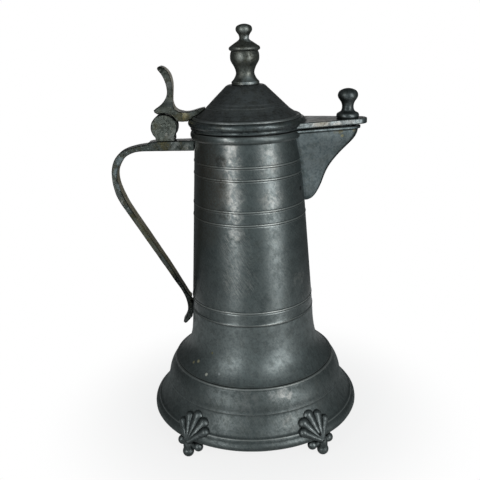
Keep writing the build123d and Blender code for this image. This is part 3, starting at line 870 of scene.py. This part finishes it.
# The bluish bend marks are painted highlights, the two near-black ones low on the strap painted shade and
# reflection of the drum; the olive ones are oxide.
handle_oxide_and_painted_light = [
    ((-92.0, -6.0, 209.0), 3, 0.45, painted_bend_highlight), ((-94.5, -6.0, 201.0), 3, 0.5, painted_bend_highlight),
    ((-93.5, -6.0, 191.0), 3, 0.4, painted_bend_highlight), ((-54.5, -4.5, 110.0), 10, 0.9, "#101313"),
    ((-50.5, -4.5, 92.0), 8, 0.9, "#141717"), ((-75.0, -6.0, 154.0), 14, 0.35, old_olive),
    ((-60.0, -6.0, 222.0), 4, 0.25, old_olive)]
handle_finish = aged_pewter(
    "cast pewter handle, dark", "#5f6360", "#2c2f2c", 7, (0.28, 0.42), oxide=0.55, pits=0.08,
    edge=painted_edge_shade, grime=0.6, side=(vessel_side, 0.1, 0.8, 0.8, sheltered_olive), rubbed=solder_flecks,
    marks=handle_oxide_and_painted_light)

handle = worked_copy("handle", "strap_handle", 0.4, 3, bevel=1.5)
dent(handle, 0.2, 7)
mark_ridges(handle, 2)
hand_over(handle, "vessel", "handle_pewter", handle_finish, "handle")

# %% [markdown]
# The hinge ears are cast too, so their copy is worked over like the handle's, with closer dents.
# They are the roughest castings here: speckled grey, with deep pits, and painted shade along their edges.

# %% Hinge ears
ear_finish = aged_pewter(
    "cast pewter ears, speckled", "#71756f", "#424540", 2.5, (0.38, 0.5), oxide=0.35, pits=0.14,
    edge=painted_edge_shade, grime=0.6, rubbed=solder_flecks)

ears = worked_copy("hinge_ears", "cast_ears", 0.3, 3)
dent(ears, 0.25, 3)
mark_ridges(ears, 1)
hand_over(ears, "vessel", "hinge_pewter", ear_finish, "hinge_ears")

# %% [markdown]
# The lid's bracket carries the thumbpiece. It is cast in one, and the thumb has worn it smooth, so
# its copy is smoothed longest. Light grey highlights are painted on its stem, it is dark at the tip,
# and shade is painted along its edges.

# %% Bracket and thumbpiece
# The light grey marks are painted highlights, the olive one is oxide.
thumb_marks_and_highlights = [
    ((-58.9, -6.0, 273.7), 3, 0.8, "#1b1c19"), ((-53.2, -7.0, 262.0), 2.2, 0.7, "#8f9292"),
    ((-53.0, -6.5, 250.0), 3, 0.5, "#868a88"), ((-38.0, -5.0, 242.3), 1.6, 0.25, "#8b9192"),
    ((-45.0, -7.2, 239.5), 4, 0.25, "#7c7148")]
thumbpiece_finish = aged_pewter(
    "cast pewter, olive oxide", "#6c6f69", "#343733", 4, (0.34, 0.46), oxide=0.5, pits=0.1,
    edge=painted_edge_shade, grime=0.6, side=(vessel_side, 0.1, 0.8, 0.6, sheltered_olive), marks=thumb_marks_and_highlights)

bracket = worked_copy("lid_bracket", "cast_thumbpiece", 0.33, 6)
dent(bracket, 0.2, 5)
mark_ridges(bracket, 1)
hand_over(bracket, "lid", "hinge_pewter", thumbpiece_finish, "lid_bracket")

# %% [markdown]
# The lid is a hollow cone with a few turned lines, so it is spun from its outline, as the drum is.
# It looks dull and dark, as metal does that is seldom rubbed.

# %% Lid cone
lid_finish = aged_pewter(
    "turned pewter lid, dull", "#6a6d6f", "#4a4c4b", 5, (0.42, 0.52), oxide=0.12, lines=0.03, line_tone=0.15,
    edge=(dull_edge, 0.5), grime=0.5)

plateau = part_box("lid_cone")[1].z / MM
flange_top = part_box("lid_cone")[0].z / MM
cone_outside = [(0, plateau), (12.8, plateau), (14.2, plateau - 0.7)]
cone_outside += [(25.2, 248.78), (26.0, 248.0), (26.2, 247.6), (26.5, 247.5), (27.4, 246.6), (28.1, 245.95)]
cone_outside += [(28.3, 245.5), (28.6, 245.45), (29.6, 244.45), (31.2, 242.9), (35.2, 240.1)]
cone_outside += [(35.9, 239.3), (36.3, 239.0)]
cone_outside += arc((36.6, 239.0), (38.5, 239.0), (39.2, flange_top), 8)
cone_inside = [(36.4, flange_top), (29.9, 241.8), (13.2, plateau - wall), (0, plateau - wall)]
cone = turned("lid_cone_turned", fine(cone_outside) + fine(cone_inside, 6))
dent(cone, 0.2, 20)
mark_ridges(cone)
hand_over(cone, "lid", "lid_pewter", lid_finish, "lid_cone")

# %% [markdown]
# Under the cone lies the flange, whose tongue covers the spout. It is cast, with brown stains on
# the tongue's top and bright flecks along its front edge, where it is knocked.

# %% Lid flange
plate_stain = "#6d5f4b"
edge_dirt = "#2a2c2c"
tongue_stains = [
    ((50.0, -10.0, 236.0), 7, 0.6, plate_stain), ((60.0, -4.0, 236.0), 5, 0.5, plate_stain),
    ((46.0, -14.5, 231.5), 3, 0.5, edge_dirt), ((57.0, -12.0, 231.5), 2.5, 0.5, edge_dirt),
    ((67.0, -9.5, 231.5), 2.5, 0.4, edge_dirt)]
tongue_rubbed = [
    ((50.0, -14.0, 230.8), 7, 0.3), ((63.0, -10.0, 230.8), 6, 0.35), ((74.0, -8.0, 230.8), 5, 0.2)]
flange_finish = aged_pewter(
    "cast pewter flange, dark", "#656b6c", "#3a3e3f", 5, (0.30, 0.42), oxide=0.2, lines=0.02,
    edge=("#8e9494", 0.3), grime=0.6, rubbed=tongue_rubbed, marks=tongue_stains)

flange = worked_copy("lid_flange", "lid_flange_and_tongue", 0.45, 4)
dent(flange, 0.25, 8)
mark_ridges(flange, 2)
hand_over(flange, "lid", "lid_pewter", flange_finish, "lid_flange")


# %% [markdown]
# Both knobs were turned from solid. The tall finial is a cap on a neck, over an urn, a waist and a
# base ring. Its skin is patchy, and highlights are painted as pale places on the neck, the cap,
# the base ring and the urn.

# %% Finial
def dome(edge, top, pieces=8):
    """Round top of a knob, from its edge to the axis."""
    rise = top - edge[1]
    radius = (edge[0] ** 2 + rise**2) / (2 * rise)
    turns = [asin(edge[0] / radius) * (1 - i / pieces) for i in range(pieces + 1)]
    return [(radius * sin(t), top - radius * (1 - cos(t))) for t in turns[:-1]] + [(0.0, top)]


# Painted highlights, one pale place each.
finial_painted_highlights = [
    ((2.6, -3.0, 290.5), 2.4, 0.8, "#b4bab9"), ((0.0, -5.5, 297.5), 2.6, 0.5, "#a4a9a6"),
    ((3.0, -9.5, 261.0), 5, 0.6, "#a4adb0"), ((-4.0, -9.0, 279.0), 2.5, 0.3, "#a4a9a6")]
finial_finish = aged_pewter(
    "turned pewter finial, patchy", "#6f716c", "#3a3c38", 5, (0.42, 0.54), oxide=0.3, lines=0.01,
    edge=(dull_edge, 0.2), marks=finial_painted_highlights)

finial_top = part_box("finial")[1].z / MM
cap_edge = (4.9, 299.6)
finial_outline = [(0, plateau), (9.4, plateau), (9.9, plateau + 0.5), (9.9, 262.2), (9.5, 262.7)]
finial_outline += smooth([
    (9.2, 262.9), (7.6, 265.0), (6.5, 268.3), (7.6, 272.2), (10.0, 276.6), (10.2, 280.6), (9.5, 283.0)], 5)
finial_outline += [(9.7, 283.2)] + arc((10.6, 283.7), (11.0, 284.8), (10.6, 285.8), 5)
finial_outline += smooth([
    (10.4, 286.0), (7.0, 288.3), (3.9, 290.4), (3.4, 292.0), (3.9, 293.8), (4.9, 295.2)], 5)
finial_outline += arc((4.9, 295.2), (5.8, 297.4), cap_edge, 6)[1:] + dome(cap_edge, finial_top)[1:]
finial = turned("turned_finial", fine(finial_outline, 1.0))
mark_ridges(finial)
hand_over(finial, "lid", "knob_pewter", finial_finish, "finial")

# %% [markdown]
# The small knob over the spout is a ball on a stem, darker and a little glossier than the finial.

# %% Knob over the spout
spout_knob_finish = aged_pewter(
    "turned pewter knob, dark", "#5d6263", "#3c4142", 5, (0.37, 0.48), oxide=0.12, lines=0.01,
    edge=(dull_edge, 0.2))

knob_low, knob_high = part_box("spout_knob")
knob_x = (knob_low.x + knob_high.x) / 2 / MM
knob_base = knob_low.z / MM
knob_top = knob_high.z / MM
ball_edge = (5.6, 253.6)
knob_outline = [(0, knob_base), (7.6, knob_base)] + arc((7.6, knob_base), (8.1, 236.2), (7.5, 237.8), 6)[1:]
knob_outline += smooth([(7.2, 238.0), (4.8, 239.6), (4.1, 242.4), (4.7, 245.3), (6.6, 248.2)], 5)
knob_outline += arc((6.6, 248.2), (7.1, 251.2), ball_edge, 6)[1:] + dome(ball_edge, knob_top)[1:]
knob = turned("turned_spout_knob", fine(knob_outline, 1.0), knob_x)
mark_ridges(knob)
hand_over(knob, "lid", "knob_pewter", spout_knob_finish, "spout_knob")

# %% [markdown]
# Four cast feet carry the pitcher. Each is a shell with a ball below it and a smaller one at each
# side. Castings keep dirt between the lobes, so the grooves are nearly black. One front foot
# has a small hole, which is only painted shade here, a dark mark.

# %% Feet
# Painted shade stands for the hole.
foot_hole_shade = [((45.6, -67.4, 17.3), 1.1, 0.9, "#060707")]
foot_finish = aged_pewter(
    "cast pewter feet", "#6e7373", "#4b5050", 5, (0.38, 0.48), oxide=0.03, pits=0.04,
    edge=("#8d9291", 0.25), grime=0.9, marks=foot_hole_shade)

for foot in ("foot_front_left", "foot_front_right", "foot_back_left", "foot_back_right"):
    shell = worked_copy(foot, foot + "_cast", 0.3, 2)
    mark_ridges(shell, 2)
    hand_over(shell, "vessel", "feet_pewter", foot_finish, foot)

# %% [markdown]
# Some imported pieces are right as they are: the vessel's floor, the bezel inside the lid and the
# hinge pin. They keep their shape and get a finish. Inside, pewter is never polished, so it is
# dull and even.

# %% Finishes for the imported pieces
inside_finish = aged_pewter(
    "dull inside pewter", "#606565", "#484c4c", 15, (0.48, 0.6), oxide=0.10, lines=0.03)
packed_finishes = {"vessel_floor": inside_finish, "lid_bezel": inside_finish, "hinge_pin": ear_finish}
for node, finish in packed_finishes.items():
    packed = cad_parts[node]
    packed.data.materials.clear()
    packed.data.materials.append(finish)
    print(node, "keeps its packed mesh, in", finish.name)
